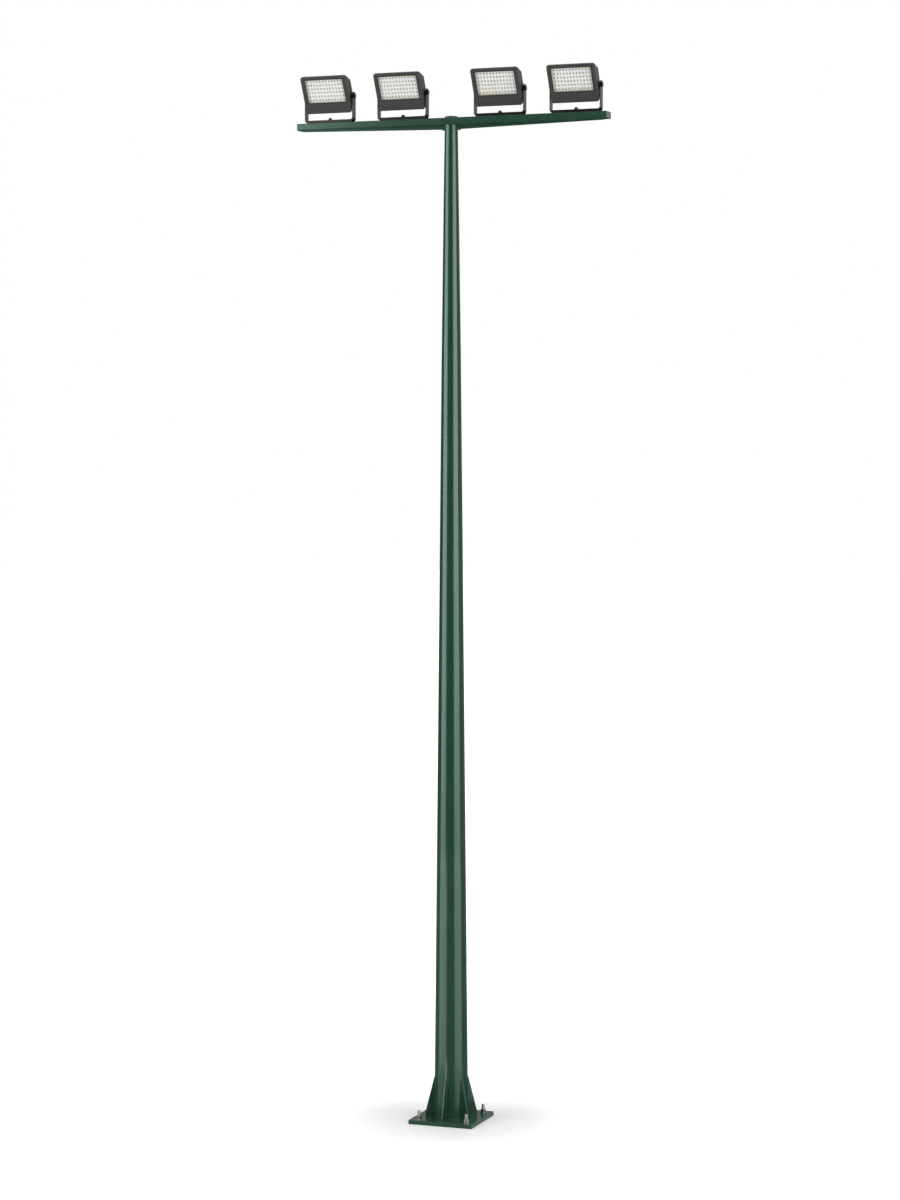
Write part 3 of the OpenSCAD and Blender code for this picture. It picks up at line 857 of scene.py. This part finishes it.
class POLE_OT_bezels(PoleOperator, bpy.types.Operator):
    """Builds the grooved bezels and the gaskets round their windows"""

    bl_idname = "pole.bezels"
    bl_label = "Bezels"

    def bezel(self, low, high, window_w, window_h, window_middle):
        """One bezel: grooved front, sunk rim, lip, glass pocket and plain back, in one skin."""
        d = self.details
        width, height = high.x - low.x, high.z - low.z
        middle = (low.z + high.z) / 2
        bm = bmesh.new()
        front = rounded_outline(bm, width, height, d.bezel_corner, middle, low.y)
        back_loop = push(bm, loop_of(front), offset=(0, high.y - low.y, 0))
        slope = d.groove_depth * 0.7
        groove = (
            (d.groove_inset, 0),
            (slope, -d.groove_depth),
            (d.groove_width, 0),
            (slope, d.groove_depth),
        )
        for thickness, depth in groove:
            bmesh.ops.inset_region(
                bm, faces=[front], thickness=thickness, depth=depth, use_even_offset=True,
                use_boundary=True,
            )
        outer_loop = loop_of(front)
        bmesh.ops.delete(bm, geom=[front], context="FACES_ONLY")
        rim_w, rim_h = window_w + 2 * d.rim, window_h + 2 * d.rim
        rim_loop = outline_loop(bm, rim_w, rim_h, d.rim_corner, window_middle, low.y)
        fill_between(bm, outer_loop, rim_loop)
        about = (0, 0, window_middle)
        inward = (window_w / rim_w, 1, window_h / rim_h)
        glass_gap = 0.5 * MM
        pocket = 2 * (d.glass_lap + glass_gap)
        outward = (1 + pocket / window_w, 1, 1 + pocket / window_h)
        loop = push(bm, rim_loop, offset=(0, d.rim_sink, 0))
        loop = push(bm, loop, scale=inward, about=about)
        loop = push(bm, loop, offset=(0, d.lip, 0))
        loop = push(bm, loop, scale=outward, about=about)
        loop = push(bm, loop, offset=(0, high.y - low.y - d.rim_sink - d.lip, 0))
        fill_between(bm, loop, back_loop)
        return bm

    def gasket(self, front, window_w, window_h, window_middle):
        """A flat rubber frame that lies in the sunk rim."""
        d = self.details
        gap, bare_ledge = 0.5 * MM, 1.2 * MM
        outer_corner, inner_corner = 4.6 * MM, 3 * MM
        depth = front + d.rim_sink - d.gasket
        bm = bmesh.new()
        loops = []
        for reach, corner in ((d.rim - gap, outer_corner), (bare_ledge, inner_corner)):
            width, height = window_w + 2 * reach, window_h + 2 * reach
            loops.append(outline_loop(bm, width, height, corner, window_middle, depth))
        fill_between(bm, *loops)
        loops = [push(bm, loop, offset=(0, d.gasket, 0)) for loop in loops]
        fill_between(bm, *loops)
        return bm

    def execute(self, context):
        grey = self.finish(cast_grey)
        rubber = self.finish(black_rubber)
        for body in LAMP_BODIES:
            place = lamp_place(body)
            low, high = upright_box(f"{body}_bezel", place)
            glass_low, glass_high = upright_box(f"{body}_glass", place)
            lap = self.details.glass_lap
            window = (
                glass_high.x - glass_low.x - 2 * lap,
                glass_high.z - glass_low.z - 2 * lap,
                (glass_low.z + glass_high.z) / 2,
            )
            bezel = self.bezel(low, high, *window)
            bmesh.ops.transform(bezel, matrix=place, verts=bezel.verts)
            piece = add_piece(
                f"{body}_bezel_cast", bezel, [grey], body, [f"{body}_bezel"]
            )
            round_edges(piece, self.details.moulded_edge)
            gasket = self.gasket(low.y, *window)
            bmesh.ops.transform(gasket, matrix=place, verts=gasket.verts)
            piece = add_piece(f"{body}_gasket", gasket, [rubber], body)
            round_edges(piece, self.details.gasket_edge, 1)
        return {"FINISHED"}


class POLE_OT_windows(PoleOperator, bpy.types.Operator):
    """Builds the lamp boards, their light chips and the glass in front"""

    bl_idname = "pole.windows"
    bl_label = "Lamp boards and glass"

    def board(self, low, high):
        """The board, with its border as a second finish."""
        bm = bmesh.new()
        middle = (low.z + high.z) / 2
        face = square_outline(bm, high.x - low.x, high.z - low.z, middle, low.y)
        back = push(bm, loop_of(face), offset=(0, high.y - low.y, 0))
        bmesh.ops.edgeloop_fill(bm, edges=back)
        border = bmesh.ops.inset_region(
            bm, faces=[face], thickness=self.details.board_border, depth=0, use_even_offset=True,
            use_boundary=True,
        )
        for ring_face in border["faces"]:
            ring_face.material_index = 1
        return bm

    def chips(self, middle, front):
        """A joined field of chips: a pale package round a yellow face."""
        d = self.details
        frame_w, sink = 0.5 * MM, 0.25 * MM
        size = Matrix.Diagonal((d.chip_w, d.chip_t, d.chip_h, 1))
        bm = bmesh.new()
        for column in range(d.columns):
            for row in range(d.rows):
                x = (column - (d.columns - 1) / 2) * d.chip_pitch_x
                z = middle + (row - (d.rows - 1) / 2) * d.chip_pitch_z
                place = Matrix.Translation((x, front - d.chip_t / 2, z))
                bmesh.ops.create_cube(bm, size=1, matrix=place @ size)
        faces = [face for face in bm.faces if face.normal.y < -0.9]
        bmesh.ops.inset_individual(
            bm, faces=faces, thickness=frame_w, depth=-sink, use_even_offset=True
        )
        for face in faces:
            face.material_index = 1
        return bm

    def execute(self, context):
        board_finishes = [self.finish(board_mask), self.finish(board_border)]
        chip_finishes = [self.finish(chip_package), self.finish(chip_phosphor)]
        glass = self.finish(clear_glass)
        for body in LAMP_BODIES:
            node = f"{body}_led_board"
            place = lamp_place(body)
            low, high = upright_box(node, place)
            board = self.board(low, high)
            bmesh.ops.transform(board, matrix=place, verts=board.verts)
            add_piece(f"{body}_board", board, board_finishes, body, [node])
            chips = self.chips((low.z + high.z) / 2, low.y)
            bmesh.ops.transform(chips, matrix=place, verts=chips.verts)
            add_piece(f"{body}_chips", chips, chip_finishes, body)
            edge = self.details.small_edge
            finished_node(f"{body}_glass", "clear", glass, edge)
        return {"FINISHED"}


# ---- studio ----


def round_mast(angle, radius, height):
    """A point at an angle round the mast, counted from -Y."""
    return radius * math.sin(angle), -radius * math.cos(angle), height


def seen_or_mirrored(tree):
    """A node that gives 1 to what the camera, gloss and glass see, and 0 to what lights."""
    paths = add_node(tree, "ShaderNodeLightPath")
    direct = add_node(tree, "ShaderNodeMath", operation="MAXIMUM")
    total = add_node(tree, "ShaderNodeMath", operation="MAXIMUM")
    wire(
        tree,
        (paths, "Is Camera Ray", direct, 0),
        (paths, "Is Glossy Ray", direct, 1),
        (direct, 0, total, 0),
        (paths, "Is Transmission Ray", total, 1),
    )
    return total


class POLE_OT_studio(PoleOperator, bpy.types.Operator):
    """Sets the white floor, the softboxes, the cards that the paint mirrors, and the camera"""

    bl_idname = "pole.studio"
    bl_label = "Studio"

    # direction of the view round the mast, from which the other angles are measured
    VIEW = math.radians(20.26)

    # lower height, brightness there, upper height, brightness there, as shares of the strips'
    STRIP_GLOWS = {
        "Strip glow": (0, 0.6, 3.5, 1.1),
        "Low strip glow": (0, 0.45, 1.4, 0.6),
        "Left foot glow": (0, 0.16, 0.26, 0.24),
        "Right foot glow": (0, 0.24, 0.26, 0.32),
        "Gusset glow": (0, 0.7, 1, 0.7),
    }
    PLAIN_GLOWS = {
        "Black flag": 0.03,
        "Grey flag": 0.3,
        "White card": 0.75,
        "Back card": 0.5,
        "Plate card": 0.36,
        "Ground flag": 0.2,
    }

    # name, glow, radius, start and end angle in degrees, low and high edge
    CURVED_CARDS = (
        ("Left_strip", "Strip glow", 12, -94, -47, 0, 12),
        ("Right_strip", "Strip glow", 12, 24, 76, 0, 12),
        ("Left_low_strip", "Low strip glow", 1.6, -94, -35, 0, 1.38),
        ("Left_foot_strip", "Left foot glow", 0.5, -94, -35, 0, 0.26),
        ("Gusset_card", "Gusset glow", 0.49, -38, -28, 0.10, 0.32),
        ("Right_low_strip", "Low strip glow", 1.6, 24, 78, 0, 1.38),
        ("Right_foot_strip", "Right foot glow", 0.5, 24, 78, 0, 0.26),
        ("Front_flag", "Black flag", 14, -150, 80, 0, 14),
        ("Side_flag", "Grey flag", 14, 80, 150, 0, 14),
        ("Beam_card", "Grey flag", 13, -38, -22, 6.9, 9.5),
        ("End_card", "White card", 13, 128, 150, 5.9, 9.5),
        ("Back_flag", "Black flag", 14, 150, 210, 0, 7.2),
        ("Plate_card", "Plate card", 2.0, 150, 210, 0.30, 0.62),
    )
    # name, glow, radius, height
    ROUND_CARDS = (
        ("Ground_flag", "Ground flag", 14, 0.002),
        ("Near_flag", "Black flag", 1.2, 0.003),
        ("Foot_flag", "Back card", 0.36, 0.004),
    )

    def place(self, context, thing):
        context.scene.collection.objects.link(thing)
        return thing

    def camera(self, context):
        lens = bpy.data.cameras.new("Camera")
        lens.sensor_width = 36
        lens.lens = 87.98
        lens.clip_end = 200
        camera = self.place(context, bpy.data.objects.new("Camera", lens))
        distance, height = 17.49, 3.957
        pitch, heading = math.radians(2.70), self.VIEW + math.radians(0.025)
        camera.location = round_mast(self.VIEW, distance, height)
        camera.rotation_euler = (math.pi / 2 - pitch, 0, heading)
        context.scene.camera = camera

    def softbox(self, context, name, angle, power):
        """A tall flat light that faces the mast, at an angle round it from the view."""
        distance = 5.5
        light = bpy.data.lights.new(name, "AREA")
        light.shape = "RECTANGLE"
        light.size, light.size_y = 4.6, 8.0
        light.energy = power
        angle = self.VIEW + math.radians(angle)
        box = self.place(context, bpy.data.objects.new(name, light))
        box.location = round_mast(angle, distance, light.size_y / 2)
        box.rotation_euler = (math.pi / 2, 0, angle)
        box.visible_camera = False
        box.visible_glossy = False

    def card(self, context, name, bm, finish):
        """A card that shows only in gloss, so that it doesn't light the colours up."""
        mesh = bpy.data.meshes.new(name)
        bm.to_mesh(mesh)
        bm.free()
        mesh.materials.append(finish)
        card = self.place(context, bpy.data.objects.new(name, mesh))
        for ray in ("camera", "diffuse", "transmission", "volume_scatter", "shadow"):
            setattr(card, f"visible_{ray}", False)

    def curved_card(self, context, name, finish, radius, start, end, low, high):
        """A card bent round the mast between two angles from the view."""
        bm = bmesh.new()
        angle = self.VIEW + math.radians(start)
        ends = [bm.verts.new(round_mast(angle, radius, z)) for z in (low, high)]
        spin(bm, ends + [bm.edges.new(ends)], math.radians(end - start), 48)
        self.card(context, name, bm, finish)

    def glow(self, name, low, low_strength, high, high_strength):
        """A glowing finish whose strength changes with the height."""
        finish, tree, shader = blank_finish(name)
        tree.nodes.remove(shader)
        coordinates = add_node(tree, "ShaderNodeTexCoord")
        split = add_node(tree, "ShaderNodeSeparateXYZ")
        ramp = add_node(
            tree, "ShaderNodeMapRange",
            {"From Min": low, "From Max": high, "To Min": low_strength, "To Max": high_strength},
        )
        light = add_node(tree, "ShaderNodeEmission", {"Color": (1, 1, 1, 1)})
        wire(
            tree,
            (coordinates, "Object", split, 0),
            (split, "Z", ramp, "Value"),
            (ramp, "Result", light, "Strength"),
            (light, 0, tree.nodes["Material Output"], "Surface"),
        )
        return finish

    def disc(self, context, name, radius, height, finish):
        """A round card just above the floor."""
        bm = bmesh.new()
        place = Matrix.Translation((0, 0, height))
        bmesh.ops.create_circle(bm, cap_ends=True, segments=64, radius=radius, matrix=place)
        self.card(context, name, bm, finish)

    def cards(self, context):
        """Two tall strips with dark flags between them, and small cards for the ends and edges."""
        strip = context.scene.pole_studio.strip
        glows = {}
        for name, (low, low_share, high, high_share) in self.STRIP_GLOWS.items():
            glows[name] = self.glow(name, low, low_share * strip, high, high_share * strip)
        for name, level in self.PLAIN_GLOWS.items():
            glows[name] = self.glow(name, 0, level, 1, level)
        for name, glow, *shape in self.CURVED_CARDS:
            self.curved_card(context, name, glows[glow], *shape)
        for name, glow, radius, height in self.ROUND_CARDS:
            self.disc(context, name, radius, height, glows[glow])

    def floor(self, context):
        bm = bmesh.new()
        bmesh.ops.create_circle(bm, cap_ends=True, segments=64, radius=FLOOR_RADIUS)
        mesh = bpy.data.meshes.new("Floor")
        bm.to_mesh(mesh)
        bm.free()
        floor = self.place(context, bpy.data.objects.new("Floor", mesh))
        finish, tree, shader = blank_finish("White studio floor")
        shader.inputs["Base Color"].default_value = (0.8, 0.8, 0.8, 1)
        shader.inputs["Roughness"].default_value = 0.9
        shader.inputs["Specular IOR Level"].default_value = 0.0
        coordinates = add_node(tree, "ShaderNodeTexCoord")
        distance = add_node(tree, "ShaderNodeVectorMath", operation="LENGTH")
        # the floor's glow rises smoothly from its base value at near to 1 at far: the lower glow
        # round the base paints a soft shadow there, on top of the rendered shadow
        near, far = 0.2, 1.6
        glow = context.scene.pole_studio.floor_glow_painted_shadow
        glow_ramp_painted_shadow = add_node(
            tree, "ShaderNodeMapRange",
            {"From Min": near, "From Max": far, "To Min": glow, "To Max": 1.0},
            interpolation_type="SMOOTHSTEP",
        )
        light = add_node(tree, "ShaderNodeEmission", {"Color": (1, 1, 1, 1)})
        both = add_node(tree, "ShaderNodeAddShader")
        pick = add_node(tree, "ShaderNodeMixShader")
        wire(
            tree,
            (coordinates, "Object", distance, 0),
            (distance, "Value", glow_ramp_painted_shadow, "Value"),
            (glow_ramp_painted_shadow, "Result", light, "Strength"),
            (shader, 0, both, 0),
            (light, 0, both, 1),
            (seen_or_mirrored(tree), 0, pick, 0),
            (shader, 0, pick, 1),
            (both, 0, pick, 2),
            (pick, 0, tree.nodes["Material Output"], "Surface"),
        )
        mesh.materials.append(finish)

    def world(self, context, fill):
        """White where it is seen, also in metal and glass, and a plain soft fill elsewhere."""
        world = bpy.data.worlds.new("Studio")
        context.scene.world = world
        world.use_nodes = True
        tree = world.node_tree
        background = tree.nodes["Background"]
        background.inputs["Color"].default_value = (1, 1, 1, 1)
        strength = add_node(tree, "ShaderNodeMapRange", {"To Min": fill, "To Max": 1.0})
        wire(
            tree,
            (seen_or_mirrored(tree), 0, strength, "Value"),
            (strength, "Result", background, "Strength"),
        )

    def execute(self, context):
        studio = context.scene.pole_studio
        self.camera(context)
        self.softbox(context, "Left_softbox", -65, studio.left_power)
        self.softbox(context, "Right_softbox", 51, studio.right_power)
        self.softbox(context, "Back_softbox", 180, studio.back_power)
        self.cards(context)
        self.floor(context)
        self.world(context, studio.sky)
        context.scene.view_settings.view_transform = "Standard"
        return {"FINISHED"}


# ---- panel and running ----


class POLE_PT_panel(bpy.types.Panel):
    """Lists the settings and the steps that build the pole"""

    bl_label = "Floodlight Pole"
    bl_idname = "POLE_PT_panel"
    bl_space_type = "VIEW_3D"
    bl_region_type = "UI"
    bl_category = "Floodlight Pole"

    def draw(self, context):
        for group in GROUPS:
            settings = getattr(context.scene, group)
            box = self.layout.box()
            for name in settings.__annotations__:
                box.prop(settings, name)
        for operator in OPERATORS:
            self.layout.operator(operator.bl_idname)


OPERATORS = (
    POLE_OT_mast, POLE_OT_base, POLE_OT_anchors, POLE_OT_crossbar, POLE_OT_yokes, POLE_OT_housings,
    POLE_OT_bezels, POLE_OT_windows, POLE_OT_studio,
)
GROUPS = {"pole_colours": PoleColours, "pole_details": PoleDetails, "pole_studio": PoleStudio}


def register():
    for cls in (*GROUPS.values(), *OPERATORS, POLE_PT_panel):
        bpy.utils.register_class(cls)
    for name, cls in GROUPS.items():
        setattr(bpy.types.Scene, name, PointerProperty(type=cls))


def unregister():
    for name in GROUPS:
        delattr(bpy.types.Scene, name)
    for cls in reversed((*GROUPS.values(), *OPERATORS, POLE_PT_panel)):
        bpy.utils.unregister_class(cls)


def main():
    register()
    bpy.ops.pole.mast()
    bpy.ops.pole.base()
    bpy.ops.pole.anchors()
    bpy.ops.pole.crossbar()
    bpy.ops.pole.yokes()
    bpy.ops.pole.housings()
    bpy.ops.pole.bezels()
    bpy.ops.pole.windows()
    bpy.ops.pole.studio()


if __name__ == "__main__":
    main()
